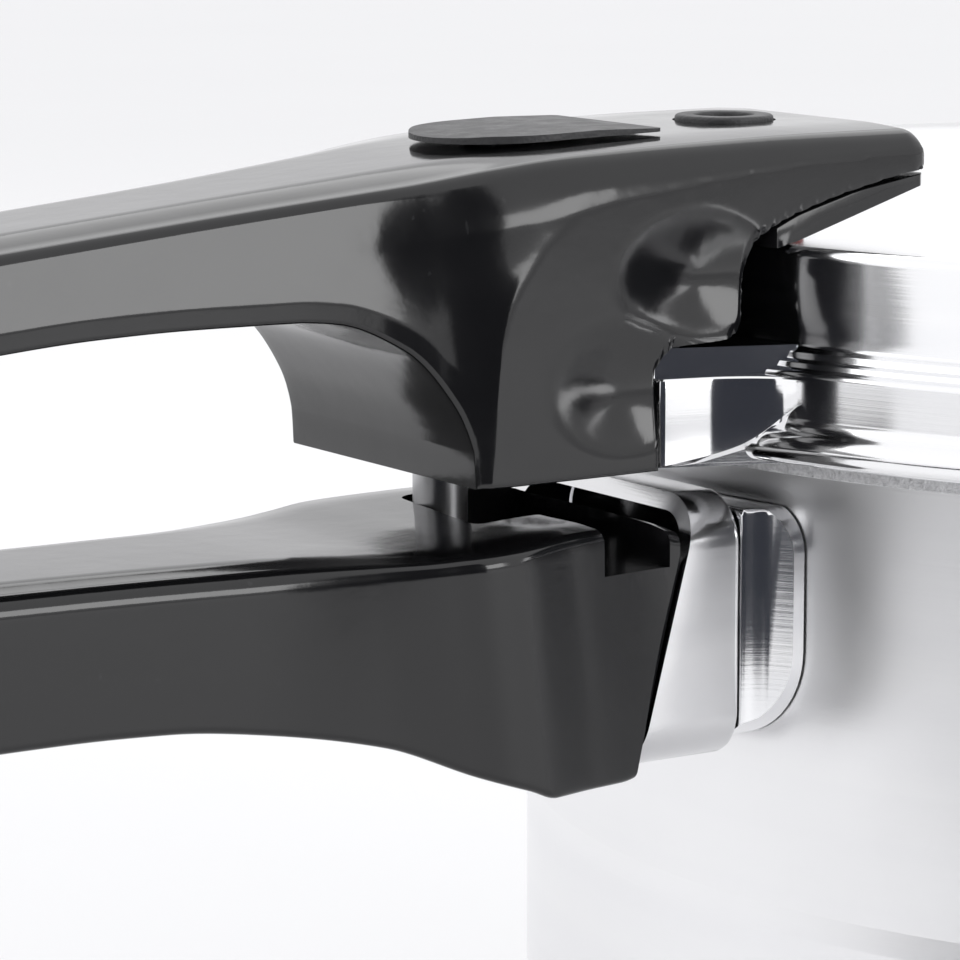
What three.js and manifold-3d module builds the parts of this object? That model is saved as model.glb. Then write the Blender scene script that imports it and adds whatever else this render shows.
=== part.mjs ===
// Stovetop pressure cooker: an aluminium pot and bayonet lid with long black handles.
// Millimetres, +Z up. The origin is the centre of the pot's bottom, and the long handles run along -X.
import * as THREE from 'three';
import { mergeVertices } from 'three/addons/utils/BufferGeometryUtils.js';
import Module from 'manifold-3d';

const wasm = await Module();
wasm.setup();

// ---- driving dimensions ----
const GAP = 0.3; // between touching pieces
const TURNS = 60; // sides of every large round surface
const SMALL_SIDES = 16; // sides of every small round surface

const POT_R = 112; // outer radius of the wall
const WALL = 3; // thickness of the pot's wall
const BASE_THICK = 4.5;
const STEP_Z = 80; // height of the step line round the wall
const STEP_IN = 1.2; // the wall is this much smaller below the step
const RIM_Z = 143.5; // top of the pot's wall
const LUGS = 6;
const LUG_ANGLE = 26; // degrees covered by one lug
const POT_LUG = { inner: 111, outer: 115.4, low: 139.6, high: 142.2 };
const LID_LUG = { inner: 113, outer: 116.6, low: 136.7, high: 139.1 };

const LIP_R = 117; // lowest lip of the lid's skirt
const LIP_Z = 136.6;
const SKIRT_R = 118.6;
const SHOULDER_Z = 149.6; // top edge of the skirt
const DOME_R = 114.6;
const DOME_Z = 164.4; // edge of the dome
const CROWN_Z = 167; // middle of the dome
const LID_THICK = 2.6;
const RING_FLANGE = { inner: 104, top: 149.4 }; // inward flange that holds the sealing ring down

const HANDLE_HALF = 22.7; // half width of the lid handle over the ear
const EAR = { left: -130, right: -114, low: 137.8, high: 152.5, corner: 2.6 };
const HANDLE_END = -294; // hand end of both long handles
const BAR = { x: -142.3, y: 8.5, r: 3.5, low: 126.2, high: 166 };
const CHANNEL_R = { inner: 129.8, outer: 138.6 }; // the bar's way out of the lower handle
const POCKET_Z = 125.2; // floor of the locking pocket
const WINDOW_X = -104.8; // the round window in the lid handle
const FLOAT_X = -95;
const FLOAT_R = 1.6;
const SAFETY_X = 52;
const NECK = { half: 8, low: 106, high: 121 }; // tenon of the handle brackets
const COLLAR = { half: 20.2, low: 101, high: 133.4, wall: 2.2, face: -116.4 };
const LONG_FRONT = { topX: -126.2, topZ: 128.3, lowX: -131.9, lowZ: 100.1 }; // slanted front of the long handle
const RIVET = { r: 2.7, head: 5, y: 14, z: 113.5 };
const SCREW_X = -140; // the lower handle's screw

// ---- materials ----
const finish = (color, roughness, metalness) => new THREE.MeshStandardMaterial({ color, roughness, metalness });
const satin = () => finish(0xdededf, 0.35, 1);
const polished = () => finish(0xe6e6e8, 0.12, 1);
const black = () => finish(0x0b0b0c, 0.15, 0);
const mattBlack = () => finish(0x2a2a2c, 0.6, 0);
const steel = () => finish(0xb9babd, 0.3, 1);
const rubber = () => finish(0x6d6f72, 0.8, 0);
const brass = () => finish(0xb9a163, 0.3, 1);
const red = () => finish(0xa8201c, 0.5, 0);

// ---- solids ----
// A closed geometry as a solid: only positions are kept, and triangles that collapse at a pole are dropped.
function solid(geometry) {
  const bare = geometry.clone();
  bare.deleteAttribute('normal');
  bare.deleteAttribute('uv');
  const merged = mergeVertices(bare, 1e-4);
  const corners = [];
  for (let i = 0; i < merged.index.count; i += 3) {
    const [a, b, c] = [0, 1, 2].map((k) => merged.index.getX(i + k));
    if (a !== b && b !== c && a !== c) corners.push(a, b, c);
  }
  const vertProperties = new Float32Array(merged.attributes.position.array);
  return new wasm.Manifold(new wasm.Mesh({ numProp: 3, vertProperties, triVerts: new Uint32Array(corners) }));
}

function geometryOf(body) {
  const { vertProperties, triVerts } = body.getMesh();
  const geometry = new THREE.BufferGeometry();
  geometry.setAttribute('position', new THREE.BufferAttribute(new Float32Array(vertProperties), 3));
  geometry.setIndex(new THREE.BufferAttribute(new Uint32Array(triVerts), 1));
  geometry.computeVertexNormals();
  return geometry;
}

const box = (x0, x1, y0, y1, z0, z1) =>
  solid(new THREE.BoxGeometry(x1 - x0, y1 - y0, z1 - z0).translate((x0 + x1) / 2, (y0 + y1) / 2, (z0 + z1) / 2));

const post = (x, y, r, z0, z1, sides = SMALL_SIDES) =>
  solid(new THREE.CylinderGeometry(r, r, z1 - z0, sides).rotateX(Math.PI / 2).translate(x, y, (z0 + z1) / 2));

const rod = (y, z, r, x0, x1) =>
  solid(new THREE.CylinderGeometry(r, r, x1 - x0, SMALL_SIDES).rotateZ(Math.PI / 2).translate((x0 + x1) / 2, y, z));

// A turned piece about the vertical line through (x, y); profile points are [radius, height], anticlockwise.
function turned(profile, x = 0, y = 0, sides = TURNS) {
  const points = profile.map(([r, z]) => new THREE.Vector2(r, z));
  return solid(new THREE.LatheGeometry(points, sides).rotateX(Math.PI / 2).translate(x, y, 0));
}

const closed = (profile) => [...profile, profile[0]];

// An outline given as [x, y] points, extruded upwards from z0 to z1.
const outline = (points) => new THREE.Shape(points.map(([x, y]) => new THREE.Vector2(x, y)));
const slab = (shape, z0, z1) =>
  solid(new THREE.ExtrudeGeometry(shape, { depth: z1 - z0, bevelEnabled: false, curveSegments: 8 }).translate(0, 0, z0));

// An outline given in X and Z, extruded across Y to both sides.
const across = (points, half) =>
  solid(
    new THREE.ExtrudeGeometry(outline(points), { depth: 2 * half, bevelEnabled: false })
      .rotateX(Math.PI / 2)
      .translate(0, half, 0),
  );

// An arc of a ring between two angles in degrees, seen from above.
function ringSector({ inner, outer, low, high }, from, to) {
  const shape = new THREE.Shape();
  const start = THREE.MathUtils.degToRad(from);
  const end = THREE.MathUtils.degToRad(to);
  shape.absarc(0, 0, outer, start, end, false);
  shape.absarc(0, 0, inner, end, start, true);
  return slab(shape, low, high);
}

const lugs = (lug) =>
  Array.from({ length: LUGS }, (_, i) => {
    const middle = (i * 360) / LUGS;
    return ringSector(lug, middle - LUG_ANGLE / 2, middle + LUG_ANGLE / 2);
  });

const join = (first, ...rest) => rest.reduce((sum, piece) => sum.add(piece), first);
const cut = (first, ...rest) => rest.reduce((left, piece) => left.subtract(piece), first);

// A smooth curve through [x, value] points with rising x, as a function of x.
function through(points) {
  const slopeAt = (i) => {
    if (i === 0 || i === points.length - 1) return 0;
    const [a, b, c] = [points[i - 1], points[i], points[i + 1]];
    const [before, after] = [(b[1] - a[1]) / (b[0] - a[0]), (c[1] - b[1]) / (c[0] - b[0])];
    return before * after <= 0 ? 0 : (2 * before * after) / (before + after);
  };
  return (x) => {
    let i = points.findIndex((point, k) => k < points.length - 1 && x <= points[k + 1][0]);
    if (i < 0) i = points.length - 2;
    const [[x0, y0], [x1, y1]] = [points[i], points[i + 1]];
    const run = x1 - x0;
    const t = THREE.MathUtils.clamp((x - x0) / run, 0, 1);
    const [h1, h2] = [t * t * (3 - 2 * t), t * (1 - t) * (1 - t)];
    return y0 + (y1 - y0) * h1 + run * (slopeAt(i) * h2 - slopeAt(i + 1) * t * t * (1 - t));
  };
}

// A handle along X: each station's section is a rectangle in Y and Z with rounded corners.
function handleBody(stations, top, bottom, half, topRound, lowRound) {
  const arc = [0, 30, 60, 90].map(THREE.MathUtils.degToRad);
  const positions = [];
  for (const x of stations) {
    const [z1, z0, w] = [top(x), bottom(x), half(x)];
    const r = Math.min(topRound, w * 0.7, (z1 - z0) * 0.45);
    const q = Math.min(lowRound, w * 0.4, (z1 - z0) * 0.3);
    for (const a of arc) positions.push(x, w - r + r * Math.cos(a), z1 - r + r * Math.sin(a));
    for (const a of [...arc].reverse()) positions.push(x, -(w - r + r * Math.cos(a)), z1 - r + r * Math.sin(a));
    for (const a of arc) positions.push(x, -(w - q + q * Math.cos(a)), z0 + q - q * Math.sin(a));
    for (const a of [...arc].reverse()) positions.push(x, w - q + q * Math.cos(a), z0 + q - q * Math.sin(a));
  }
  const ring = 4 * arc.length;
  const index = [];
  for (let s = 0; s < stations.length - 1; s += 1) {
    for (let k = 0; k < ring; k += 1) {
      const [a, b] = [s * ring + k, s * ring + ((k + 1) % ring)];
      index.push(a, b, b + ring, a, b + ring, a + ring);
    }
  }
  const last = (stations.length - 1) * ring;
  for (let k = 1; k < ring - 1; k += 1) {
    index.push(0, k + 1, k, last, last + k, last + k + 1);
  }
  const geometry = new THREE.BufferGeometry();
  geometry.setAttribute('position', new THREE.Float32BufferAttribute(positions, 3));
  geometry.setIndex(index);
  return solid(geometry);
}

const uniqueSorted = (values) => [...new Set(values)].sort((a, b) => a - b);

// ---- pot ----
function potBody() {
  const inner = POT_R - WALL;
  const low = POT_R - STEP_IN;
  const wall = turned([
    [0, 0],
    [low - 12, 0],
    [low - 3.5, 3.5],
    [low, 12],
    [low, STEP_Z - 3.2],
    [POT_R, STEP_Z],
    [POT_R, POT_LUG.low - 2],
    [POT_R + 0.5, POT_LUG.low + 0.4],
    [POT_R + 0.5, RIM_Z - 0.8],
    [POT_R + 0.2, RIM_Z],
    [inner + 0.6, RIM_Z],
    [inner, RIM_Z - 0.6],
    [inner, BASE_THICK + 8],
    [inner - 2.4, BASE_THICK + 2.4],
    [inner - 8, BASE_THICK],
    [0, BASE_THICK],
  ]);
  const holes = [-1, 1].flatMap((side) =>
    [-RIVET.y, RIVET.y].map((y) => rod(y, RIVET.z, RIVET.r + GAP, ...(side < 0 ? [-116, -100] : [100, 116]))),
  );
  return cut(join(wall, ...lugs(POT_LUG)), ...holes);
}

// ---- handle brackets, built on the -X side ----
function bracket(neckEnd) {
  const plan = outline([
    [-116, -20],
    [-114.6, -20.6],
    [-113, -22],
    [-111.4, -24.4],
    [-105, -24.4],
    [-105, 24.4],
    [-111.4, 24.4],
    [-113, 22],
    [-114.6, 20.6],
    [-116, 20],
  ]);
  const pad = slab(plan, 102, 131.5);
  const neck = box(neckEnd, -115, -NECK.half, NECK.half, NECK.low, NECK.high);
  const holes = [-RIVET.y, RIVET.y].map((y) => rod(y, RIVET.z, RIVET.r + GAP, -114.4, -100));
  const screwHole = post(neckEnd + 9, 0, 2.5 + GAP, NECK.low - 1, NECK.high - 3);
  return cut(join(pad, neck), post(0, 0, POT_R + GAP, 90, 140, TURNS), ...holes, screwHole);
}

const rivet = (y) =>
  join(rod(y, RIVET.z, RIVET.r, -114, -106), rod(y, RIVET.z, RIVET.head, -106.9, -104.7));

// X of the long handle's slanted front at height z.
function frontAt(z) {
  const { topX, topZ, lowX, lowZ } = LONG_FRONT;
  return lowX + ((topX - lowX) / (topZ - lowZ)) * (z - lowZ);
}

// ---- guard collar: a bright sleeve that shades the handle from the flame ----
function guardCollar() {
  const { half, low, high, wall, face } = COLLAR;
  const round = 5;
  const shape = new THREE.Shape();
  shape.moveTo(-half + round, low);
  shape.lineTo(half - round, low);
  shape.absarc(half - round, low + round, round, -Math.PI / 2, 0, false);
  shape.absarc(half - round, high - round, round, 0, Math.PI / 2, false);
  shape.absarc(-half + round, high - round, round, Math.PI / 2, Math.PI, false);
  shape.absarc(-half + round, low + round, round, Math.PI, 1.5 * Math.PI, false);
  const alongX = new THREE.Matrix4().makeBasis(
    new THREE.Vector3(0, 1, 0),
    new THREE.Vector3(0, 0, 1),
    new THREE.Vector3(1, 0, 0),
  );
  const block = new THREE.ExtrudeGeometry(shape, { depth: 22, bevelEnabled: false, curveSegments: 5 });
  const outer = solid(block.applyMatrix4(alongX).translate(face - 22, 0, 0));
  const bore = box(face - 30, face + 5, -half + wall, half - wall, low + wall, high - wall);
  const keep = across([[frontAt(95) + GAP, 95], [-100, 95], [-100, 140], [frontAt(140) + GAP, 140]], 30);
  return cut(outer, bore).intersect(keep);
}

// ---- long lower handle ----
function lowerHandle() {
  const topLine = [[HANDLE_END, 124], [-290, 129], [-280, 131], [-250, 131.4], [-219, 130.7], [-181, 130.2],
    [-165, 129.8], [-153, 130.4], [-138, 131.2], [-129, 130.8], [-125, 129.6]];
  const lowLine = [[HANDLE_END, 114], [-290, 107.5], [-280, 104.8], [-266, 106], [-250, 109.4], [-235, 111.3],
    [-219, 111.7], [-207, 111.7], [-194, 111.4], [-181, 109.9], [-167, 107.2], [-156, 102.8], [-149, 100.4],
    [-145, 99], [-134, 99], [-125, 101]];
  const halfLine = [[HANDLE_END, 10], [-290, 13.5], [-280, 15.6], [-250, 15.8], [-210, 14.8], [-185, 16],
    [-168, 19.4], [-154, 23], [-148, 23.4], [-132, 20.4], [-125, 19.4]];
  const [top, bottom, half] = [topLine, lowLine, halfLine].map(through);
  const stations = uniqueSorted([...topLine, ...lowLine, ...halfLine, [-160]].map(([x]) => x));
  const behindFront = across([[-300, 90], [frontAt(90), 90], [frontAt(140), 140], [-300, 140]], 30);
  const body = handleBody(stations, top, bottom, half, 4, 2.5).intersect(behindFront);

  const seat = slab(outline([[-147.6, -8], [-136, -8], [-134, 0], [-134, 13], [-145.2, 14.3]]), POCKET_Z, 140);
  const way = ringSector({ ...CHANNEL_R, low: POCKET_Z, high: 140 }, 174.2, 193);
  const tenon = box(-151, -100, -NECK.half - GAP, NECK.half + GAP, NECK.low - GAP, NECK.high + GAP);
  const screwHole = join(post(SCREW_X, 0, 2.5 + GAP, 90, 112), post(SCREW_X, 0, 4.6 + GAP, 90, 103.3));
  return cut(body, seat, way, tenon, screwHole);
}

// ---- a pan-head screw standing along Z, with its head at the low end ----
const screw = (x, y, head, headLow, shankHigh) =>
  cut(
    join(post(x, y, head, headLow, headLow + 3), post(x, y, 2.5, headLow + 2, shankHigh)),
    box(x - head, x + head, y - 0.6, y + 0.6, headLow - 1, headLow + 1.2),
  );

// ---- helper handle on the far side, built on +X ----
function helperHandle() {
  const topLine = [[117, 130], [120, 131.4], [135, 131.6], [150, 130.6], [160, 127.6], [165, 123.5]];
  const lowLine = [[117, 102.6], [120, 101.4], [130, 103.4], [142, 113], [150, 116.4], [160, 117.6], [165, 118.6]];
  const halfLine = [[117, 20.4], [125, 22], [138, 28], [150, 30.5], [160, 29], [165, 24]];
  const [top, bottom, half] = [topLine, lowLine, halfLine].map(through);
  const stations = uniqueSorted([...topLine, ...lowLine, ...halfLine].map(([x]) => x));
  const tenon = box(100, 136, -NECK.half - GAP, NECK.half + GAP, NECK.low - GAP, NECK.high + GAP);
  const hole = join(post(126, 0, 2.5 + GAP, 90, 112), post(126, 0, 4.6 + GAP, 90, 105.3));
  return cut(handleBody(stations, top, bottom, half, 5, 4), tenon, hole);
}

// ---- lid ----
const DOME_TOP = [[DOME_R - 0.5, DOME_Z - 0.5], [DOME_R - 1.8, DOME_Z], [60, CROWN_Z - 0.7], [0, CROWN_Z]];

function lidShell() {
  const inner = DOME_R - LID_THICK;
  const shell = turned([
    [0, CROWN_Z - LID_THICK],
    [60, CROWN_Z - LID_THICK - 0.7],
    [inner - 5, DOME_Z - LID_THICK + 0.2],
    [inner - 1, DOME_Z - LID_THICK - 1.6],
    [inner, RING_FLANGE.top + 1.4],
    [inner - 1.4, RING_FLANGE.top],
    [RING_FLANGE.inner, RING_FLANGE.top],
    [RING_FLANGE.inner, SHOULDER_Z - 2.6],
    [LIP_R - 2, SHOULDER_Z - 2.6],
    [LIP_R - 1, SHOULDER_Z - 4],
    [LIP_R - 1, LIP_Z],
    [LIP_R, LIP_Z],
    [LIP_R, LIP_Z + 1.7],
    [SKIRT_R + 1.4, LIP_Z + 1.9],
    [SKIRT_R + 2.2, LIP_Z + 3.4],
    [SKIRT_R + 1.7, LIP_Z + 5],
    [SKIRT_R, LIP_Z + 6.6],
    [SKIRT_R, SHOULDER_Z - 1],
    [SKIRT_R - 1, SHOULDER_Z],
    [DOME_R + 2.3, SHOULDER_Z + 0.6],
    [DOME_R + 1.4, SHOULDER_Z + 1.6],
    [DOME_R + 0.9, SHOULDER_Z + 2.4],
    [DOME_R + 0.3, SHOULDER_Z + 3.4],
    [DOME_R, DOME_Z - 1.8],
    ...DOME_TOP,
  ]);
  const { left, right, low, high, corner } = EAR;
  const ear = across([[left, low], [right, low], [right, high], [left + corner, high], [left, high - corner]], HANDLE_HALF);
  const clearOfPot = post(0, 0, LIP_R - 0.5, 130, SHOULDER_Z - 2, TURNS);
  const bosses = [
    post(0, 0, 11, CROWN_Z - LID_THICK - 1.5, CROWN_Z + 1, 32),
    post(SAFETY_X, 0, 10, CROWN_Z - LID_THICK - 2, CROWN_Z + 0.5, 28),
    post(FLOAT_X, 0, 5, DOME_Z - LID_THICK - 1.6, DOME_Z + 1.4),
  ];
  const holes = [
    post(0, 0, 4 + GAP, 150, 180),
    post(SAFETY_X, 0, 5 + GAP, 150, 180),
    post(FLOAT_X, 0, 3 + GAP, 150, 180),
    ...[-14, 14].map((y) => join(post(-124.6, y, 2.5 + GAP, 130, 160), post(-124.6, y, 4.3 + GAP, 130, 141.3))),
  ];
  return cut(join(shell, cut(ear, clearOfPot), ...lugs(LID_LUG), ...bosses), ...holes);
}

// ---- rooms inside the lid handle ----
const carriageRoom = () => box(-132, -99, -7, 13.5, 164.4, 172.4);
const floatRoom = () => post(FLOAT_X, 0, 2.6, 160, 175.4);

// ---- lid handle: hand grip, drop over the ear and tongue over the dome ----
function lidHandle() {
  const topLine = [[HANDLE_END, 157.3], [-290, 161], [-282, 163.2], [-265, 165], [-235, 168.1], [-213, 170.1],
    [-189, 172.4], [-176, 173.7], [-162, 175.2], [-150, 176.4], [-137, 177.2], [-122, 177.7], [-105, 178], [-92, 178],
    [-89.5, 176.4]];
  const lowLine = [[HANDLE_END, 153.4], [-290, 150.6], [-282, 149.8], [-265, 151], [-240, 154.6], [-217, 157.5],
    [-191, 158.8], [-178, 158.6], [-172.8, 158.2], [-164.6, 154.7], [-159, 148.4], [-156.4, 142], [-156.1, 137.8],
    [-130.4, 137.9], [-130.35, 150.3], [-127.9, 152.9], [-120.4, 153.4], [-118.4, 155], [-117.4, 162],
    [-116.2, 165], [-113.5, 166.8], [-109.7, 168.3], [-100.5, 170.8], [-89.5, 172.6]];
  const halfLine = [[HANDLE_END, 9], [-290, 12.6], [-282, 14.8], [-265, 16], [-235, 15.6], [-205, 15.2],
    [-182, 17], [-168, 20], [-156.4, HANDLE_HALF], [-92, HANDLE_HALF], [-90.4, 22.4], [-89.5, 21.6]];
  const [top, bottom, half] = [topLine, lowLine, halfLine].map(through);
  const stations = uniqueSorted([...topLine, ...lowLine, ...halfLine].map(([x]) => x));
  const body = handleBody(stations, top, bottom, half, 4.5, 1.2);

  const barRoom = box(-151, -129.4, -4.5, 13.5, 130, 172.4);
  const buttonSlot = box(-142.6, -128, -4.2, 4.2, 170, 185);
  const window = post(WINDOW_X, 0, 3.4, 170, 185);
  const ringSeat = post(WINDOW_X, 0, 6.3 + GAP, 177.3, 185, 28);
  const screwHoles = [-14, 14].map((y) => post(-124.6, y, 2.5 + GAP, 150, 163));
  return cut(body, barRoom, carriageRoom(), buttonSlot, window, floatRoom(), ringSeat, ...screwHoles);
}

// ---- closing plate under the tongue, flush with its sides ----
function handleBase() {
  const plate = across([
    [-113, 164],
    [-111.4, 164.2],
    [-101.2, 167.3],
    [-89.8, 170.8],
    [-89.8, 172.1],
    [-100.5, 170.4],
    [-109.7, 167.9],
    [-113, 166.5],
  ], HANDLE_HALF);
  const nose = slab(outline([[-120, -23], [-91, -22.7], [-89.8, -21.6], [-89.8, 21.6], [-91, 22.7], [-120, 23]]), 160, 175);
  const overDome = DOME_TOP.map(([r, z]) => [r + GAP, z + GAP]);
  const seat = turned([[0, 150], [DOME_R + GAP, 150], [DOME_R + GAP, DOME_Z - 1.8], ...overDome.slice(0, -1), [0, CROWN_Z + GAP]]);
  return cut(plate.intersect(nose), carriageRoom(), floatRoom(), seat);
}

const windowRing = () =>
  cut(post(WINDOW_X, 0, 6.3, 177.7, 178.7, 28), post(WINDOW_X, 0, 3.7, 170, 185, 28));

// ---- slider: thumb button, carriage and lock bar, one rigid train of three pieces ----
function sliderButton() {
  const [centre, round, right] = [-138, 12, -122.6];
  const plan = new THREE.Shape();
  plan.moveTo(right, -round);
  plan.lineTo(right, round);
  plan.absarc(centre, 0, round, Math.PI / 2, 1.5 * Math.PI, false);
  const plate = slab(plan, 176, 181);
  const side = across([[-151, 177.1], [-137, 177.7], [right, 178.1], [right, 178.4], [-132, 178.5], [-146, 178.1], [-151, 177.6]], 13);
  const stem = box(-142, -137, -3.6, 3.6, 170.4, 178.4);
  return join(plate.intersect(side), stem);
}

function carriage() {
  const deck = box(-147.6, -109.6, -3, 12.4, 166.4, 170.1);
  const finger = box(-113.6, -109.6, -3, 3, 169, 172);
  return cut(join(deck, finger), post(BAR.x, BAR.y, BAR.r - 1 + GAP, 160, 175));
}

const lockBar = () =>
  join(post(BAR.x, BAR.y, BAR.r, BAR.low, BAR.high), post(BAR.x, BAR.y, BAR.r - 1, BAR.high - 1, 169.6));

// ---- sealing ring, C-shaped in section, in the lid's shoulder ----
const sealingRing = () =>
  turned(closed([
    [106.6, RIM_Z + GAP],
    [114.6, RIM_Z + GAP],
    [114.6, SHOULDER_Z - 2.6 - GAP],
    [106.6, SHOULDER_Z - 2.6 - GAP],
    [109.6, RIM_Z + 1.6],
  ]));

// ---- vent in the middle of the lid ----
const seatZ = CROWN_Z + 1; // top of the middle boss
const underZ = CROWN_Z - LID_THICK - 1.5; // underside of the middle boss

const ventPipe = () =>
  cut(
    turned([
      [0, 151.6],
      [4, 151.6],
      [4, seatZ + GAP],
      [7.5, seatZ + GAP],
      [7.5, seatZ + 4],
      [4.2, seatZ + 5],
      [3.6, seatZ + 11],
      [2.6, seatZ + 15],
      [0, seatZ + 15],
    ], 0, 0, SMALL_SIDES),
    post(0, 0, 1.5, 140, 200, 12),
  );

const nut = (x, across6, bore, z0, z1) => cut(post(x, 0, across6, z0, z1, 6), post(x, 0, bore, z0 - 1, z1 + 1));

const ventSeal = () => cut(post(0, 0, 8, underZ - 1.8, underZ - GAP), post(0, 0, 4 + GAP, 140, 190));
const ventNut = () => nut(0, 8, 4 + GAP, underZ - 6, underZ - 1.8 - GAP);

const ventCap = () =>
  turned(closed([
    [4 + GAP, 152],
    [8.6, 152],
    [8.6, 154.4],
    [7, 156.2],
    [4 + GAP, 156.2],
  ]), 0, 0, SMALL_SIDES);

// ---- pressure weight on the vent pipe ----
const WEIGHT_LOW = seatZ + 5.4;
const pressureWeight = () =>
  turned([
    [0, WEIGHT_LOW + 11.4],
    [3.4, WEIGHT_LOW + 9.9],
    [4.8, WEIGHT_LOW],
    [11, WEIGHT_LOW],
    [12, WEIGHT_LOW + 1],
    [12, WEIGHT_LOW + 14],
    [6, WEIGHT_LOW + 15],
    [5, WEIGHT_LOW + 19],
    [0, WEIGHT_LOW + 19],
  ], 0, 0, 28);

const weightCover = () =>
  cut(
    turned([
      [0, WEIGHT_LOW + 6],
      [14.5, WEIGHT_LOW + 6],
      [15.5, WEIGHT_LOW + 7],
      [15.5, WEIGHT_LOW + 18],
      [12.5, WEIGHT_LOW + 23],
      [0, WEIGHT_LOW + 24],
    ], 0, 0, 28),
    post(0, 0, 12 + GAP, WEIGHT_LOW, WEIGHT_LOW + 15 + GAP, 28),
    post(0, 0, 6 + GAP, WEIGHT_LOW, WEIGHT_LOW + 19.4),
  );

// ---- safety valve ----
const safetySeat = CROWN_Z + 0.5;
const safetyUnder = CROWN_Z - LID_THICK - 2;

const safetyBody = () =>
  cut(
    turned([
      [0, safetyUnder - 7],
      [5, safetyUnder - 7],
      [5, safetySeat + GAP],
      [9, safetySeat + GAP],
      [9, safetySeat + 5],
      [7, safetySeat + 9],
      [0, safetySeat + 9],
    ], SAFETY_X, 0, SMALL_SIDES),
    post(SAFETY_X, 0, 2.6, 140, 200, 16),
    post(SAFETY_X, 0, 5, safetySeat + 4, 200, 16),
  );

const safetyPlug = () =>
  join(post(SAFETY_X, 0, 2.2, safetyUnder - 4, safetySeat + 6, 16), post(SAFETY_X, 0, 4.5, safetySeat + 4.3, safetySeat + 10));

const safetySeal = () =>
  cut(post(SAFETY_X, 0, 8, safetyUnder - 1.8, safetyUnder - GAP), post(SAFETY_X, 0, 5 + GAP, 140, 190));
const safetyNut = () => nut(SAFETY_X, 8.6, 5 + GAP, safetyUnder - 6, safetyUnder - 1.8 - GAP);

// ---- float: rises into the tongue when the pot is under pressure ----
const floatTop = DOME_Z + 1.4;
const floatUnder = DOME_Z - LID_THICK - 1.6;
const floatSeat = () =>
  cut(
    join(
      post(FLOAT_X, 0, 3, floatUnder - 2.6, floatTop + 1.4),
      post(FLOAT_X, 0, 4.2, floatTop + GAP, floatTop + 1.6),
      post(FLOAT_X, 0, 4, floatUnder - 2.6, floatUnder - 0.6),
    ),
    post(FLOAT_X, 0, FLOAT_R + GAP, 150, 180),
  );
const floatPin = () =>
  join(post(FLOAT_X, 0, FLOAT_R, 149.6, 170.6), post(FLOAT_X, 0, FLOAT_R + 0.6, floatTop + 1.6 + GAP, 170.6));
const floatClip = () => cut(post(FLOAT_X, 0, 3.4, 150.6, 151.8), post(FLOAT_X, 0, FLOAT_R + GAP, 149, 155));

// ---- assembly ----
const group = new THREE.Group();

function add(name, body, material, parent = group) {
  const mesh = new THREE.Mesh(geometryOf(body), material);
  mesh.name = name;
  parent.add(mesh);
}

add('pot_body', potBody(), satin());
add('handle_bracket', bracket(-149), polished());
add('bracket_rivet_1', rivet(-RIVET.y), polished());
add('bracket_rivet_2', rivet(RIVET.y), polished());
add('guard_collar', guardCollar(), polished());
add('body_handle', lowerHandle(), black());
add('body_handle_screw', screw(SCREW_X, 0, 4.6, 99.4, 116), steel());

const farSide = new THREE.Group();
farSide.rotation.z = Math.PI;
group.add(farSide);
add('helper_bracket', bracket(-135), polished(), farSide);
add('helper_rivet_1', rivet(-RIVET.y), polished(), farSide);
add('helper_rivet_2', rivet(RIVET.y), polished(), farSide);
add('helper_handle', helperHandle(), black());
add('helper_handle_screw', screw(126, 0, 4.6, 101.7, 116), steel());

add('sealing_ring', sealingRing(), rubber());

add('lid_shell', lidShell(), polished());
add('lid_handle', lidHandle(), black());
[-14, 14].forEach((y, i) => add(`lid_handle_screw_${i + 1}`, screw(-124.6, y, 4.3, 138.2, 162), steel()));
add('handle_base', handleBase(), black());
add('window_ring', windowRing(), mattBlack());
add('vent_pipe', ventPipe(), steel());
add('vent_seal', ventSeal(), rubber());
add('vent_nut', ventNut(), steel());
add('vent_cap', ventCap(), steel());
add('safety_valve_body', safetyBody(), brass());
add('safety_valve_plug', safetyPlug(), red());
add('safety_valve_seal', safetySeal(), rubber());
add('safety_valve_nut', safetyNut(), brass());
add('float_seat', floatSeat(), rubber());

add('slider_button', sliderButton(), mattBlack());
add('slider_carriage', carriage(), mattBlack());
add('lock_bar', lockBar(), steel());

add('pressure_weight', pressureWeight(), steel());
add('weight_cover', weightCover(), black());

add('float_pin', floatPin(), red());
add('float_clip', floatClip(), steel());

export default group;
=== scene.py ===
"""Stovetop pressure cooker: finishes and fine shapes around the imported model.

Shapes are in millimetres; the camera, lights and flags are in metres.
"""
import math

import bmesh
import bpy
import numpy as np
from mathutils import Matrix, Vector


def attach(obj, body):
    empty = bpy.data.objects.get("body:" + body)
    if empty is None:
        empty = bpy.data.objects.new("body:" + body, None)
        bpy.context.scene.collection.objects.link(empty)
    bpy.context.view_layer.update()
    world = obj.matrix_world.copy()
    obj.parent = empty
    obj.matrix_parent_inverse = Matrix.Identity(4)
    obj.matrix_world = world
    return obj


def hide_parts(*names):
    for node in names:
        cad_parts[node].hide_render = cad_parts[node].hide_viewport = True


MM = 0.001

# ---- camera: low over the handles, from the side they point to ----
camera_data = bpy.data.cameras.new("camera")
camera_data.sensor_width = 36
camera_data.lens = 161.1
camera_data.clip_end = 30
camera = bpy.data.objects.new("camera", camera_data)
camera.location = (-0.42798, -0.44321, 0.22243)
camera.rotation_euler = (math.radians(90 - 9.44), 0, math.radians(-32.85))
bpy.context.scene.collection.objects.link(camera)
bpy.context.scene.camera = camera

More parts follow.
